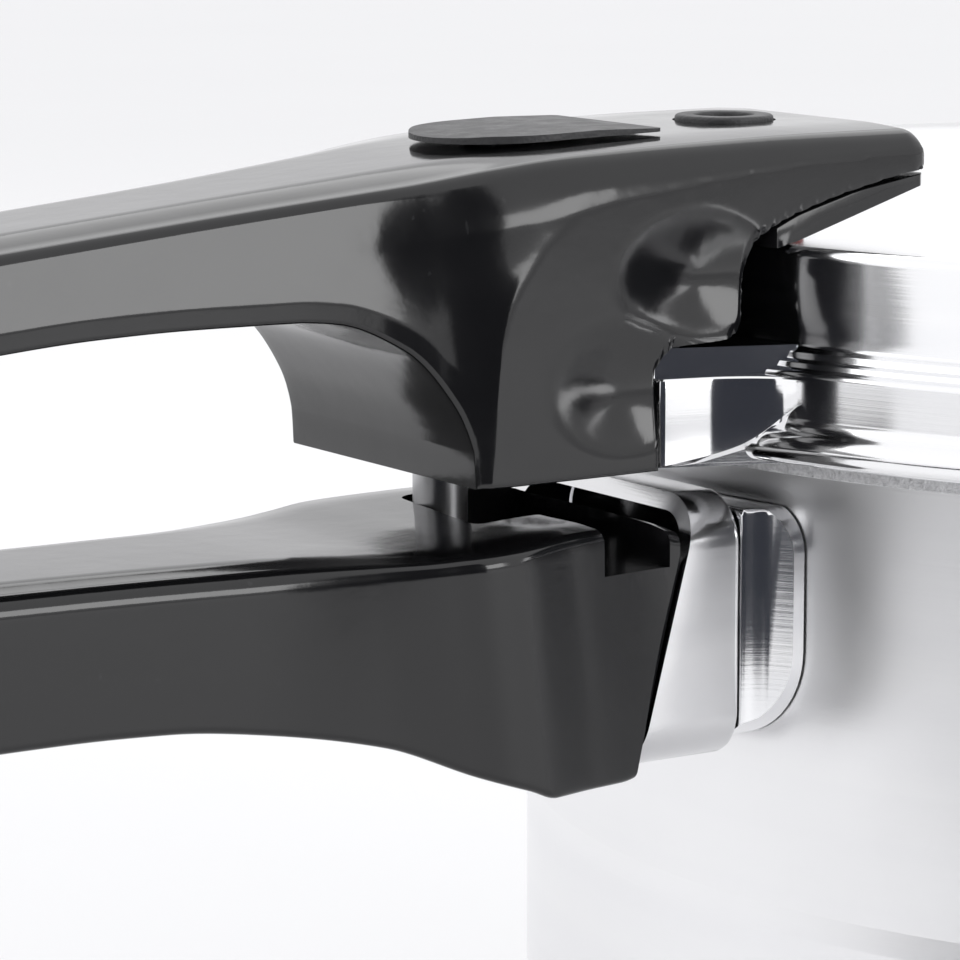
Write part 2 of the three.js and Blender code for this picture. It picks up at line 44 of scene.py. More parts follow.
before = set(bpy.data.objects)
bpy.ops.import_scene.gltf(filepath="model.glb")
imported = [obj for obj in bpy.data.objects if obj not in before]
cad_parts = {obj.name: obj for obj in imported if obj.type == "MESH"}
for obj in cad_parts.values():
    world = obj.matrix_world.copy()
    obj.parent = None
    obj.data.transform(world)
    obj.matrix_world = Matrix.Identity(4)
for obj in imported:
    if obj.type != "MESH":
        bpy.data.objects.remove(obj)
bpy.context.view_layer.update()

# ---- driving dimensions ----
POT_R = 112
WALL = 3
BASE_THICK = 4.5
STEP_Z = 80
STEP_OUT = 0.35  # the wall below the step line stands out by this much
RIM_Z = 143.5
LUG_COUNT = 6
LUG_ANGLE = 26
POT_LUG = (111, 115.4, 139.6, 142.2)
LID_LUG = (113, 116.6, 136.7, 139.1)
LIP_R = 117
LIP_Z = 136.6
SKIRT_R = 118.6
SHOULDER_Z = 149.6
DOME_R = 114.6
DOME_Z = 164.4
CROWN_Z = 167
LID_THICK = 2.6
FLANGE_R = 104
HANDLE_HALF = 22.7
HANDLE_END = -294
BAR_X, BAR_Y, BAR_R = -142.3, 8.5, 3.5
WINDOW_X = -104.8
FLOAT_X = -95
SAFETY_X = 52
FLOAT_UNDER = DOME_Z - LID_THICK - 1.6
TURN_STEPS = 256


# =====================================================================
# materials
# =====================================================================
def node_group(name, inputs, outputs):
    group = bpy.data.node_groups.new(name, "ShaderNodeTree")
    for socket_name, kind, value in inputs:
        socket = group.interface.new_socket(socket_name, in_out="INPUT", socket_type=kind)
        if value is not None:
            socket.default_value = value
    for socket_name, kind in outputs:
        group.interface.new_socket(socket_name, in_out="OUTPUT", socket_type=kind)
    return group, group.nodes.new("NodeGroupInput"), group.nodes.new("NodeGroupOutput")


def noise(tree, scale, detail=3.0, roughness=0.55, stretch=None):
    """A noise on Object coordinates, stretched by a factor on each axis."""
    coords = tree.nodes.new("ShaderNodeTexCoord")
    texture = tree.nodes.new("ShaderNodeTexNoise")
    texture.inputs["Scale"].default_value = scale
    texture.inputs["Detail"].default_value = detail
    texture.inputs["Roughness"].default_value = roughness
    mapping = tree.nodes.new("ShaderNodeMapping")
    if stretch:
        mapping.inputs["Scale"].default_value = stretch
    tree.links.new(coords.outputs["Object"], mapping.inputs["Vector"])
    tree.links.new(mapping.outputs["Vector"], texture.inputs["Vector"])
    return texture.outputs["Fac"]


def spread(tree, value, low, high, to_low, to_high):
    """Maps a value from one range to another, held at both ends."""
    node = tree.nodes.new("ShaderNodeMapRange")
    for name, number in (("From Min", low), ("From Max", high), ("To Min", to_low), ("To Max", to_high)):
        if hasattr(number, "links"):
            tree.links.new(number, node.inputs[name])
        else:
            node.inputs[name].default_value = number
    tree.links.new(value, node.inputs["Value"])
    return node.outputs["Result"]


def combine(tree, operation, first, second):
    node = tree.nodes.new("ShaderNodeMath")
    node.operation = operation
    for socket, value in zip(node.inputs, (first, second)):
        if hasattr(value, "links"):
            tree.links.new(value, socket)
        else:
            socket.default_value = value
    return node.outputs["Value"]


def mixed_colour(tree, factor, first, second):
    node = tree.nodes.new("ShaderNodeMix")
    node.data_type = "RGBA"
    tree.links.new(factor, node.inputs["Factor"])
    for socket, value in ((node.inputs[6], first), (node.inputs[7], second)):
        if hasattr(value, "links"):
            tree.links.new(value, socket)
        else:
            socket.default_value = value
    return node.outputs[2]


def edge_wear_group():
    """Mask of rubbed edges, broken up by a fine noise."""
    group, given, result = node_group(
        "edge_wear",
        [("Amount", "NodeSocketFloat", 0.5)],
        [("Mask", "NodeSocketFloat")],
    )
    geometry = group.nodes.new("ShaderNodeNewGeometry")
    edges = spread(group, geometry.outputs["Pointiness"], 0.52, 0.6, 0.0, 1.0)
    patches = spread(group, noise(group, 160, 4), 0.4, 0.65, 0.2, 1.0)
    worn = combine(group, "MULTIPLY", combine(group, "MULTIPLY", edges, patches), given.outputs["Amount"])
    group.links.new(worn, result.inputs["Mask"])
    return group


def handling_group():
    """Faint smears and dust specks that change the gloss of a surface."""
    group, given, result = node_group(
        "handling_marks",
        [("Low", "NodeSocketFloat", 0.1), ("High", "NodeSocketFloat", 0.2)],
        [("Roughness", "NodeSocketFloat"), ("Specks", "NodeSocketFloat")],
    )
    smears = noise(group, 38, 5, 0.6)
    roughness = spread(group, smears, 0.35, 0.7, given.outputs["Low"], given.outputs["High"])
    specks = spread(group, noise(group, 900, 1.5), 0.735, 0.76, 0.0, 1.0)
    group.links.new(roughness, result.inputs["Roughness"])
    group.links.new(specks, result.inputs["Specks"])
    return group


def brushed_group():
    """Fine lines that run round the Z axis, as a height and as a tone."""
    group, given, result = node_group(
        "brushed_round",
        [("Fineness", "NodeSocketFloat", 1.0)],
        [("Height", "NodeSocketFloat"), ("Tone", "NodeSocketFloat")],
    )
    coords = group.nodes.new("ShaderNodeTexCoord")
    scaled = group.nodes.new("ShaderNodeVectorMath")
    scaled.operation = "MULTIPLY"
    scaled.inputs[1].default_value = (9, 9, 1500)
    group.links.new(coords.outputs["Object"], scaled.inputs[0])
    texture = group.nodes.new("ShaderNodeTexNoise")
    texture.inputs["Detail"].default_value = 5
    texture.inputs["Roughness"].default_value = 0.7
    group.links.new(scaled.outputs["Vector"], texture.inputs["Vector"])
    group.links.new(given.outputs["Fineness"], texture.inputs["Scale"])
    broad = noise(group, 1.0, 2, 0.5, (3, 3, 160))
    group.links.new(texture.outputs["Fac"], result.inputs["Height"])
    group.links.new(spread(group, broad, 0.3, 0.7, 0.0, 1.0), result.inputs["Tone"])
    return group


def grain_group():
    """A pebbled moulding grain as a height."""
    group, given, result = node_group(
        "pebble_grain",
        [("Scale", "NodeSocketFloat", 1800.0)],
        [("Height", "NodeSocketFloat")],
    )
    coords = group.nodes.new("ShaderNodeTexCoord")
    cells = group.nodes.new("ShaderNodeTexVoronoi")
    cells.feature = "SMOOTH_F1"
    cells.inputs["Smoothness"].default_value = 0.6
    group.links.new(coords.outputs["Object"], cells.inputs["Vector"])
    group.links.new(given.outputs["Scale"], cells.inputs["Scale"])
    group.links.new(cells.outputs["Distance"], result.inputs["Height"])
    return group


EDGE_WEAR = edge_wear_group()
HANDLING = handling_group()
BRUSHED = brushed_group()
GRAIN = grain_group()


def use_group(tree, group, **values):
    node = tree.nodes.new("ShaderNodeGroup")
    node.node_tree = group
    for name, value in values.items():
        node.inputs[name].default_value = value
    return node


def new_material(name):
    material = bpy.data.materials.new(name)
    material.use_nodes = True
    tree = material.node_tree
    return material, tree, tree.nodes["Principled BSDF"]


def bump(tree, shader, height, strength, distance):
    node = tree.nodes.new("ShaderNodeBump")
    node.inputs["Strength"].default_value = strength
    node.inputs["Distance"].default_value = distance
    tree.links.new(height, node.inputs["Height"])
    tree.links.new(node.outputs["Normal"], shader.inputs["Normal"])
    return node


def black_phenolic():
    """Glossy black moulding with a faint orange peel and rubbed edges."""
    material, tree, shader = new_material("black_phenolic")
    marks = use_group(tree, HANDLING, Low=0.07, High=0.16)
    wear = use_group(tree, EDGE_WEAR, Amount=0.35)
    black, grey = (0.005, 0.005, 0.0055, 1), (0.04, 0.04, 0.042, 1)
    dust = combine(tree, "MULTIPLY", marks.outputs["Specks"], 0.25)
    tree.links.new(
        mixed_colour(tree, combine(tree, "MAXIMUM", wear.outputs["Mask"], dust), black, grey),
        shader.inputs["Base Color"],
    )
    tree.links.new(marks.outputs["Roughness"], shader.inputs["Roughness"])
    shader.inputs["Specular IOR Level"].default_value = 0.56
    peel = combine(tree, "ADD", noise(tree, 95, 2), combine(tree, "MULTIPLY", noise(tree, 700, 2), 0.12))
    bump(tree, shader, peel, 0.1, 0.0006)
    return material


def matt_black():
    material, tree, shader = new_material("matt_black")
    grain = use_group(tree, GRAIN, Scale=2300.0)
    tone = noise(tree, 300, 4)
    tree.links.new(
        mixed_colour(tree, tone, (0.018, 0.018, 0.02, 1), (0.05, 0.05, 0.052, 1)),
        shader.inputs["Base Color"],
    )
    tree.links.new(spread(tree, tone, 0.3, 0.7, 0.42, 0.6), shader.inputs["Roughness"])
    bump(tree, shader, grain.outputs["Height"], 0.5, 0.00012)
    return material


def aluminium(name, light, dark, low, high, brush, distance, anisotropic=0.0):
    """Aluminium with lines round the Z axis; light and dark are the metal's two tones."""
    material, tree, shader = new_material(name)
    lines = use_group(tree, BRUSHED, Fineness=1.0)
    tree.links.new(mixed_colour(tree, lines.outputs["Tone"], dark, light), shader.inputs["Base Color"])
    shader.inputs["Metallic"].default_value = 1.0
    marks = use_group(tree, HANDLING, Low=low, High=high)
    tree.links.new(marks.outputs["Roughness"], shader.inputs["Roughness"])
    if anisotropic:
        shader.inputs["Anisotropic"].default_value = anisotropic
        tangent = tree.nodes.new("ShaderNodeTangent")
        tangent.direction_type = "RADIAL"
        tangent.axis = "Z"
        tree.links.new(tangent.outputs["Tangent"], shader.inputs["Tangent"])
    bump(tree, shader, lines.outputs["Height"], brush, distance)
    return material


def cast_aluminium():
    """Unpolished casting: a sandy skin."""
    material, tree, shader = new_material("cast_aluminium")
    sand = noise(tree, 1500, 4, 0.7)
    tree.links.new(
        mixed_colour(tree, spread(tree, sand, 0.3, 0.7, 0, 1), (0.5, 0.5, 0.51, 1), (0.86, 0.86, 0.87, 1)),
        shader.inputs["Base Color"],
    )
    shader.inputs["Metallic"].default_value = 1.0
    tree.links.new(spread(tree, sand, 0.3, 0.7, 0.42, 0.6), shader.inputs["Roughness"])
    bump(tree, shader, sand, 0.8, 0.0003)
    return material


def metal(name, colour, roughness, grain_stretch, depth):
    """Satin metal with a drawn grain; grain_stretch gives its direction."""
    material, tree, shader = new_material(name)
    grain = noise(tree, 1.0, 4, 0.65, grain_stretch)
    dark = tuple(0.82 * channel for channel in colour) + (1,)
    tree.links.new(mixed_colour(tree, grain, dark, colour + (1,)), shader.inputs["Base Color"])
    shader.inputs["Metallic"].default_value = 1.0
    tree.links.new(
        spread(tree, grain, 0.3, 0.7, roughness - 0.05, roughness + 0.06), shader.inputs["Roughness"]
    )
    bump(tree, shader, grain, 0.35, depth)
    return material


def rubber():
    material, tree, shader = new_material("grey_rubber")
    tone = noise(tree, 120, 4)
    tree.links.new(
        mixed_colour(tree, tone, (0.06, 0.062, 0.066, 1), (0.12, 0.122, 0.126, 1)),
        shader.inputs["Base Color"],
    )
    tree.links.new(spread(tree, tone, 0.3, 0.7, 0.62, 0.8), shader.inputs["Roughness"])
    grain = use_group(tree, GRAIN, Scale=3500.0)
    bump(tree, shader, grain.outputs["Height"], 0.3, 0.00008)
    return material


def red_plastic():
    material, tree, shader = new_material("red_plastic")
    tone = noise(tree, 200, 3)
    tree.links.new(
        mixed_colour(tree, tone, (0.3, 0.012, 0.01, 1), (0.42, 0.025, 0.02, 1)), shader.inputs["Base Color"]
    )
    tree.links.new(spread(tree, tone, 0.3, 0.7, 0.35, 0.5), shader.inputs["Roughness"])
    bump(tree, shader, tone, 0.2, 0.0001)
    return material


BLACK = black_phenolic()
MATT = matt_black()
SATIN = aluminium(
    "satin_aluminium", (0.88, 0.88, 0.885, 1), (0.86, 0.86, 0.87, 1), 0.28, 0.34, 0.2, 0.00005, 0.4
)
POLISHED = aluminium(
    "polished_aluminium", (0.93, 0.93, 0.935, 1), (0.88, 0.885, 0.9, 1), 0.07, 0.13, 0.3, 0.00002
)
SLEEVE = aluminium("rubbed_aluminium", (0.76, 0.76, 0.765, 1), (0.7, 0.7, 0.71, 1), 0.1, 0.2, 0.3, 0.00002)
INSIDE = aluminium("inside_aluminium", (0.78, 0.78, 0.79, 1), (0.7, 0.7, 0.71, 1), 0.34, 0.46, 0.5, 0.00008)
CAST = cast_aluminium()
STEEL = metal("steel", (0.6, 0.6, 0.61), 0.36, (900, 900, 60), 0.00004)
BRASS = metal("brass", (0.72, 0.55, 0.28), 0.28, (60, 60, 1400), 0.00004)
RUBBER = rubber()
RED = red_plastic()


# =====================================================================
# mesh tools
# =====================================================================
def finish_piece(name, bm, materials, body, nodes, sharp=32, choose=None):
    """Turns a bmesh in millimetres into a piece that rides on a body and stands for CAD nodes."""
    bmesh.ops.remove_doubles(bm, verts=bm.verts, dist=1e-4)
    bmesh.ops.recalc_face_normals(bm, faces=bm.faces)
    limit = math.radians(sharp)
    for face in bm.faces:
        face.smooth = True
        face.material_index = choose(face) if choose else 0
    for edge in bm.edges:
        edge.smooth = edge.is_manifold and edge.calc_face_angle() < limit
    bmesh.ops.scale(bm, vec=(MM, MM, MM), verts=bm.verts)
    mesh = bpy.data.meshes.new(name)
    bm.to_mesh(mesh)
    bm.free()
    for material in materials:
        mesh.materials.append(material)
    piece = bpy.data.objects.new(name, mesh)
    bpy.context.scene.collection.objects.link(piece)
    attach(piece, body)
    if nodes:
        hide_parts(*nodes)
    return piece


def rounded(points, closed=False, step=18):
    """A path whose corners [a, b, radius] are turned into arcs."""
    path = []
    count = len(points)
    for i, (a, b, radius) in enumerate(points):
        if radius == 0 or (not closed and i in (0, count - 1)):
            path.append((a, b))
            continue
        here = Vector((a, b))
        before = (Vector(points[i - 1][:2]) - here).normalized()
        after = (Vector(points[(i + 1) % count][:2]) - here).normalized()
        half = before.angle(after) / 2
        reach = radius / math.tan(half)
        start, end = here + before * reach, here + after * reach
        centre = here + (before + after).normalized() * (radius / math.sin(half))
        sweep = math.pi - 2 * half
        pieces = max(2, math.ceil(math.degrees(sweep) / step))
        first = (start - centre).angle_signed((1, 0))
        turn = (end - centre).angle_signed(start - centre)
        for k in range(pieces + 1):
            angle = first + turn * k / pieces
            path.append((centre.x + radius * math.cos(angle), centre.y + radius * math.sin(angle)))
    return path


def spun(path, x=0.0, y=0.0, closed=False, steps=TURN_STEPS):
    """A profile of (radius, height) turned about the vertical line through (x, y)."""
    bm = bmesh.new()
    points = [bm.verts.new((x + r, y, z)) for r, z in path]
    edges = [bm.edges.new(pair) for pair in zip(points, points[1:])]
    if closed:
        edges.append(bm.edges.new((points[-1], points[0])))
    bmesh.ops.spin(
        bm, geom=points + edges, cent=(x, y, 0), axis=(0, 0, 1), angle=math.tau, steps=steps, use_merge=True
    )
    bmesh.ops.remove_doubles(bm, verts=bm.verts, dist=1e-4)
    return bm


def prism(outline, low, high, radius=0.0, segments=2, axis="Z"):
    """An outline raised from low to high along an axis, with its rim edges rounded."""
    bm = bmesh.new()
    corners = [bm.verts.new((a, b, low)) for a, b in outline]
    face = bm.faces.new(corners)
    top = bmesh.ops.extrude_face_region(bm, geom=[face])["geom"]
    raised = [item for item in top if isinstance(item, bmesh.types.BMVert)]
    bmesh.ops.translate(bm, vec=(0, 0, high - low), verts=raised)
    bmesh.ops.recalc_face_normals(bm, faces=bm.faces)
    if radius:
        rims = [e for e in bm.edges if abs(e.verts[0].co.z - e.verts[1].co.z) < 1e-6]
        bmesh.ops.bevel(
            bm, geom=rims, offset=radius, segments=segments, profile=0.5, affect="EDGES", material=-1,
            clamp_overlap=True,
        )
    if axis == "Y":  # outline in X and Z
        bmesh.ops.rotate(bm, matrix=Matrix.Rotation(math.radians(90), 3, "X"), verts=bm.verts)
        bmesh.ops.scale(bm, vec=(1, -1, 1), verts=bm.verts)
        bmesh.ops.recalc_face_normals(bm, faces=bm.faces)
    if axis == "X":  # outline in Y and Z
        turn = Matrix(((0, 0, 1), (1, 0, 0), (0, 1, 0)))
        bmesh.ops.transform(bm, matrix=turn.to_4x4(), verts=bm.verts)
    return bm


def block(x0, x1, y0, y1, z0, z1, radius=0.0, segments=3):
    bm = bmesh.new()
    bmesh.ops.create_cube(bm, size=1)
    bmesh.ops.scale(bm, vec=(x1 - x0, y1 - y0, z1 - z0), verts=bm.verts)
    bmesh.ops.translate(bm, vec=((x0 + x1) / 2, (y0 + y1) / 2, (z0 + z1) / 2), verts=bm.verts)
    if radius:
        bmesh.ops.bevel(
            bm, geom=bm.edges[:], offset=radius, segments=segments, profile=0.5, affect="EDGES", material=-1
        )
    return bm


def post(x, y, radius, low, high, round_top=0.0, round_low=0.0, steps=64):
    return spun(
        rounded([(0, low, 0), (radius, low, round_low), (radius, high, round_top), (0, high, 0)]),
        x, y, steps=steps,
    )


def temporary(bm, name):
    bmesh.ops.recalc_face_normals(bm, faces=bm.faces)
    mesh = bpy.data.meshes.new(name)
    bm.to_mesh(mesh)
    bm.free()
    return bpy.data.objects.new(name, mesh)


def boolean(bm, tools, operation):
    """The bmesh joined with, or cut by, other bmeshes."""
    target = temporary(bm, "target")
    bpy.context.scene.collection.objects.link(target)
    helpers = []
    for tool in tools:
        helper = temporary(tool, "tool")
        bpy.context.scene.collection.objects.link(helper)
        modifier = target.modifiers.new("boolean", "BOOLEAN")
        modifier.operation = operation
        modifier.solver = "EXACT"
        modifier.object = helper
        helpers.append(helper)
    shaped = target.evaluated_get(bpy.context.evaluated_depsgraph_get()).to_mesh()
    result = bmesh.new()
    result.from_mesh(shaped)
    for thing in [target, *helpers]:
        mesh = thing.data
        bpy.data.objects.remove(thing)
        bpy.data.meshes.remove(mesh)
    return result


def cut(bm, *tools):
    return boolean(bm, tools, "DIFFERENCE")


def joined(bm, *tools):
    return boolean(bm, tools, "UNION")


def ring_sector(inner, outer, low, high, start, end, radius=0.0):
    """Part of a ring seen from above, between two angles in degrees."""
    steps = max(3, math.ceil(abs(end - start) / 1.5))
    angles = [math.radians(start + (end - start) * k / steps) for k in range(steps + 1)]
    outline = [(outer * math.cos(a), outer * math.sin(a)) for a in angles]
    outline += [(inner * math.cos(a), inner * math.sin(a)) for a in reversed(angles)]
    return prism(outline, low, high, radius)


def through(points):
    """A smooth curve through (x, value) points with rising x, for arrays of x."""
    xs, ys = np.array(points, float).T
    runs = np.diff(xs)
    slopes = np.diff(ys) / runs
    tangents = np.zeros(len(xs))
    same = slopes[:-1] * slopes[1:] > 0
    tangents[1:-1][same] = (2 * slopes[:-1] * slopes[1:])[same] / (slopes[:-1] + slopes[1:])[same]

    def value(x):
        i = np.clip(np.searchsorted(xs, x) - 1, 0, len(runs) - 1)
        t = np.clip((x - xs[i]) / runs[i], 0, 1)
        blend = t * t * (3 - 2 * t)
        return (
            ys[i] + (ys[i + 1] - ys[i]) * blend
            + runs[i] * (tangents[i] * t * (1 - t) ** 2 - tangents[i + 1] * t * t * (1 - t))
        )

    return value


def distance_to(path, x, z):
    """Distance of each point (x, z) to a path of points."""
    path = np.asarray(path, float)
    start, step = path[:-1], np.diff(path, axis=0)
    shape = np.broadcast(x, z).shape
    points = np.stack([np.broadcast_to(x, shape).ravel(), np.broadcast_to(z, shape).ravel()], 1)
    nearest = np.full(len(points), np.inf)
    length = np.maximum((step**2).sum(1), 1e-12)
    for first in range(0, len(points), 4000):
        block_of = points[first : first + 4000]
        offset = block_of[:, None] - start[None]
        along = np.clip((offset * step[None]).sum(2) / length, 0, 1)
        gap = offset - along[..., None] * step[None]
        nearest[first : first + 4000] = np.sqrt((gap**2).sum(2)).min(1)
    return nearest.reshape(shape)


def edge_round(distance, radius):
    """How far a surface falls back at a rounded edge, by the distance from that edge."""
    inside = np.clip(radius - distance, 0, radius)
    return radius - np.sqrt(np.maximum(radius**2 - inside**2, 0))


def smooth_step(value):
    t = np.clip(value, 0, 1)
    return t * t * (3 - 2 * t)


def stations_between(limits):
    """X stations from (start, end, spacing) stretches."""
    runs = [np.linspace(a, b, max(2, round((b - a) / gap) + 1))[:-1] for a, b, gap in limits]
    return np.concatenate([*runs, [limits[-1][1]]])


def skin(positions):
    """A closed tube of quads from positions[station, place, xyz], with both ends filled."""
    rows, columns, _ = positions.shape
    bm = bmesh.new()
    bmesh.ops.create_grid(bm, x_segments=rows - 1, y_segments=columns, size=1)
    for vert in bm.verts:
        i = round((vert.co.x + 1) / 2 * (rows - 1))
        j = round((vert.co.y + 1) / 2 * columns)
        vert.co = positions[i, j % columns]
    bmesh.ops.remove_doubles(bm, verts=bm.verts, dist=1e-4)
    ends = [edge for edge in bm.edges if edge.is_boundary]
    bmesh.ops.holes_fill(bm, edges=ends, sides=0)
    bmesh.ops.recalc_face_normals(bm, faces=bm.faces)
    return bm


def handle_skin(stations, top, bottom, side, fall, flat=0.62, across=20, down=44):
    """A handle along X.

    side gives its half width; beyond the flat share of that width its top falls to the edge.
    """
    z1, z0 = top(stations), bottom(stations)
    fall = np.minimum(fall(stations), (z1 - z0) * 0.3)
    edge = z1 - fall
    share = (1 - np.cos(np.linspace(0, math.pi, down))) / 2
    x = stations[:, None] + 0 * share
    z = edge[:, None] + (z0 - edge)[:, None] * share
    y = side(x, z, edge[:, None], z0[:, None])
    right = np.stack([x, y, z], 2)
    left = right[:, ::-1] * (1, -1, 1)
    across_top = np.linspace(-1, 1, across + 2)[1:-1]
    top_y = y[:, :1] * across_top
    slope = np.clip((np.abs(across_top) - flat) / (1 - flat), 0, 1)
    rise = fall[:, None] * (1 - slope**1.5)
    roof = np.stack([x[:, :1] + 0 * top_y, top_y, edge[:, None] + rise], 2)
    low_y = -y[:, -1:] * across_top
    floor = np.stack([x[:, :1] + 0 * low_y, low_y, z0[:, None] + 0 * low_y], 2)
    return skin(np.concatenate([right, floor, left, roof], 1))


# =====================================================================
# pot
# =====================================================================
def rivet_hole(side, y, z=113.5, radius=3.0):
    hole = bmesh.new()
    bmesh.ops.create_cone(
        hole, cap_ends=True, segments=32, radius1=radius, radius2=radius, depth=16,
        matrix=Matrix.Translation((side * 108, y, z)) @ Matrix.Rotation(math.pi / 2, 4, "Y"),
    )
    return hole


def lugs(inner, outer, low, high):
    half = LUG_ANGLE / 2
    return [
        ring_sector(inner, outer, low, high, 60 * i - half, 60 * i + half, 0.5) for i in range(LUG_COUNT)
    ]


def build_pot():
    low = POT_R + STEP_OUT
    inner = POT_R - WALL
    path = rounded([
        (0, 0.6, 0), (86, 0.6, 0), (87, 0, 0.4), (low - 9, 0, 2), (low, 9, 12), (low, STEP_Z - 3.2, 0.3),
        (POT_R, STEP_Z, 0.25), (POT_R, 137.6, 2), (POT_R + 0.5, 140, 2), (POT_R + 0.5, RIM_Z, 1.2),
        (inner, RIM_Z, 1.2), (inner, BASE_THICK, 9), (0, BASE_THICK, 0),
    ], step=8)
    shell = joined(spun(path), *lugs(*POT_LUG))
    shell = cut(shell, *[rivet_hole(side, y) for side in (-1, 1) for y in (-14, 14)])

    def choose(face):
        centre = face.calc_center_median()
        return 1 if math.hypot(centre.x, centre.y) < inner + 0.4 and centre.z > 2 else 0

    finish_piece("pot", shell, [SATIN, INSIDE], "root", ["pot_body"], 25, choose)


# ---- handle brackets and guard collar ----
def mirrored(bm, side):
    """side -1 keeps the piece at -X; side +1 turns it to +X."""
    if side > 0:
        bmesh.ops.rotate(bm, matrix=Matrix.Rotation(math.pi, 3, "Z"), verts=bm.verts)
    return bm


def build_bracket(name, node, side, neck_end):
    plan = rounded([
        (-116, -20, 0.8), (-113.6, -20.7, 3), (-111.2, -24.4, 0), (-105, -24.4, 0),
        (-105, 24.4, 0), (-111.2, 24.4, 0), (-113.6, 20.7, 3), (-116, 20, 0.8),
    ], closed=True, step=12)
    front = rounded([
        (-24.4, 101.5, 12), (24.4, 101.5, 12), (24.4, 132, 6), (-24.4, 132, 6),
    ], closed=True, step=8)
    pad = boolean(prism(plan, 102, 131.5, 1.4, 4), [prism(front, -120, -100, axis="X")], "INTERSECT")
    neck = block(neck_end, -115, -8, 8, 106, 121, 0.8)
    wall = post(0, 0, POT_R + 0.3, 90, 140, steps=TURN_STEPS)
    tools = [rivet_hole(-1, y) for y in (-14, 14)]
    body = cut(joined(pad, neck), wall, *tools, post(neck_end + 9, 0, 2.8, 100, 118))
    finish_piece(name, mirrored(body, side), [POLISHED], "root", [node], 28)


def build_rivet(name, node, side, y):
    path = rounded([(0, 0, 0), (2.7, 0, 0.4), (2.7, 7, 0), (5, 7, 0.4), (4.2, 9.2, 1.6), (0, 9.3, 0)])
    body = spun(path, steps=48)
    place = Matrix.Translation((-114, y, 113.5)) @ Matrix.Rotation(math.pi / 2, 4, "Y")
    bmesh.ops.transform(body, matrix=place, verts=body.verts)
    finish_piece(name, mirrored(body, side), [POLISHED], "root", [node], 30)


def front_x(z):
    """X of the lower handle's slanted front."""
    return -131.8 + (131.8 - 124.2) / (128.3 - 100.1) * (z - 100.1)


def build_collar():
    half, low, high, face, thick = 20.2, 99.8, 133.4, -116.2, 2.2
    ring = rounded([
        (-half, low, 6), (half, low, 6), (half, high, 6.5), (-half, high, 6.5),
    ], closed=True, step=7)
    hole = rounded([
        (-half + thick, low + thick, 4), (half - thick, low + thick, 4),
        (half - thick, high - thick, 4.4), (-half + thick, high - thick, 4.4),
    ], closed=True, step=7)
    sleeve = prism(ring, face - 20, face, 0.9, 3, axis="X")
    bore = prism(hole, face - 30, face + 5, axis="X")
    behind = prism(
        [(front_x(90) + 0.3, 90), (-160, 90), (-160, 145), (front_x(145) + 0.3, 145)], -40, 40, axis="Y"
    )
    sleeve = cut(sleeve, bore, behind)
    finish_piece("guard_sleeve", sleeve, [SLEEVE], "root", ["guard_collar"], 30)


# ---- long lower handle ----
LOWER_TOP = through([
    (HANDLE_END, 124), (-292, 127.8), (-288, 129.8), (-280, 131), (-250, 131.4), (-219, 130.7),
    (-181, 130.2), (-165, 129.8), (-153, 130.4), (-138, 131.2), (-129, 130.8), (-125, 129.6),
])
LOWER_LOW = through([
    (HANDLE_END, 114), (-292, 109.6), (-288, 106.6), (-280, 104.8), (-266, 106), (-250, 109.4),
    (-235, 111.3), (-219, 111.7), (-207, 111.7), (-194, 111.4), (-181, 109.9), (-167, 107.2),
    (-156, 102.8), (-149, 100.4), (-145, 99), (-134, 99), (-125, 101),
])
LOWER_HALF = through([(HANDLE_END, 10), (-292, 12.6), (-288, 14.4), (-280, 15.6), (-250, 15.8), (-210, 14.8),
                      (-185, 16), (-168, 19.2), (-158, 22.0), (-152.2, 23.4), (-151.2, 23.4), (-140, 21.3),
                      (-125, 19.4)])


def lower_side(x, z, z1, z0):
    slant = 0.13 * (z - 115)
    half = LOWER_HALF(x + slant * smooth_step((x + 175) / 15))
    grip = smooth_step((-160 - x) / 25)
    return half - edge_round(z1 - z, 1.7 + 0.9 * grip) - edge_round(z - z0, 1.0)


def build_lower_handle():
    stations = stations_between([(HANDLE_END, -284, 0.5), (-284, -170, 1.6), (-170, -125, 0.75)])
    fall = through([(HANDLE_END, 0.8), (-280, 0.8), (-185, 0.7), (-165, 0.35), (-125, 0.3)])
    body = handle_skin(stations, LOWER_TOP, LOWER_LOW, lower_side, fall, 0.8, down=52)
    ahead = prism([(front_x(90), 90), (-100, 90), (-100, 145), (front_x(145), 145)], -40, 40, axis="Y")
    seat = prism(
        rounded([(-147.6, -8, 1.5), (-136, -8, 0), (-134, 0, 0), (-134, 13, 1), (-145.2, 14.3, 2)], True),
        125.2, 140,
    )
    way = ring_sector(128, 138.6, 125.2, 140, 174.2, 193)
    tenon = block(-151, -100, -8.3, 8.3, 105.7, 121.3)
    screw_hole = [post(-140, 0, 2.8, 90, 112), post(-140, 0, 4.9, 90, 103.3)]
    body = cut(body, ahead, seat, way, tenon, *screw_hole)
    finish_piece("lower_handle", body, [BLACK], "root", ["body_handle"], 38)


def build_screw(name, node, body_name, x, y, head, low, high):
    shank = 2.5
    path = rounded([
        (0, low, 0), (head - 0.8, low, 0.4), (head, low + 1.2, 0.6), (head, low + 3, 0.2),
        (shank, low + 3, 0), (shank, high, 0.5), (0, high, 0),
    ])
    slots = [
        block(x - 2.6, x + 2.6, y - 0.55, y + 0.55, low - 1, low + 1.3),
        block(x - 0.55, x + 0.55, y - 2.6, y + 2.6, low - 1, low + 1.3),
    ]
    finish_piece(name, cut(spun(path, x, y, steps=48), *slots), [STEEL], body_name, [node], 30)


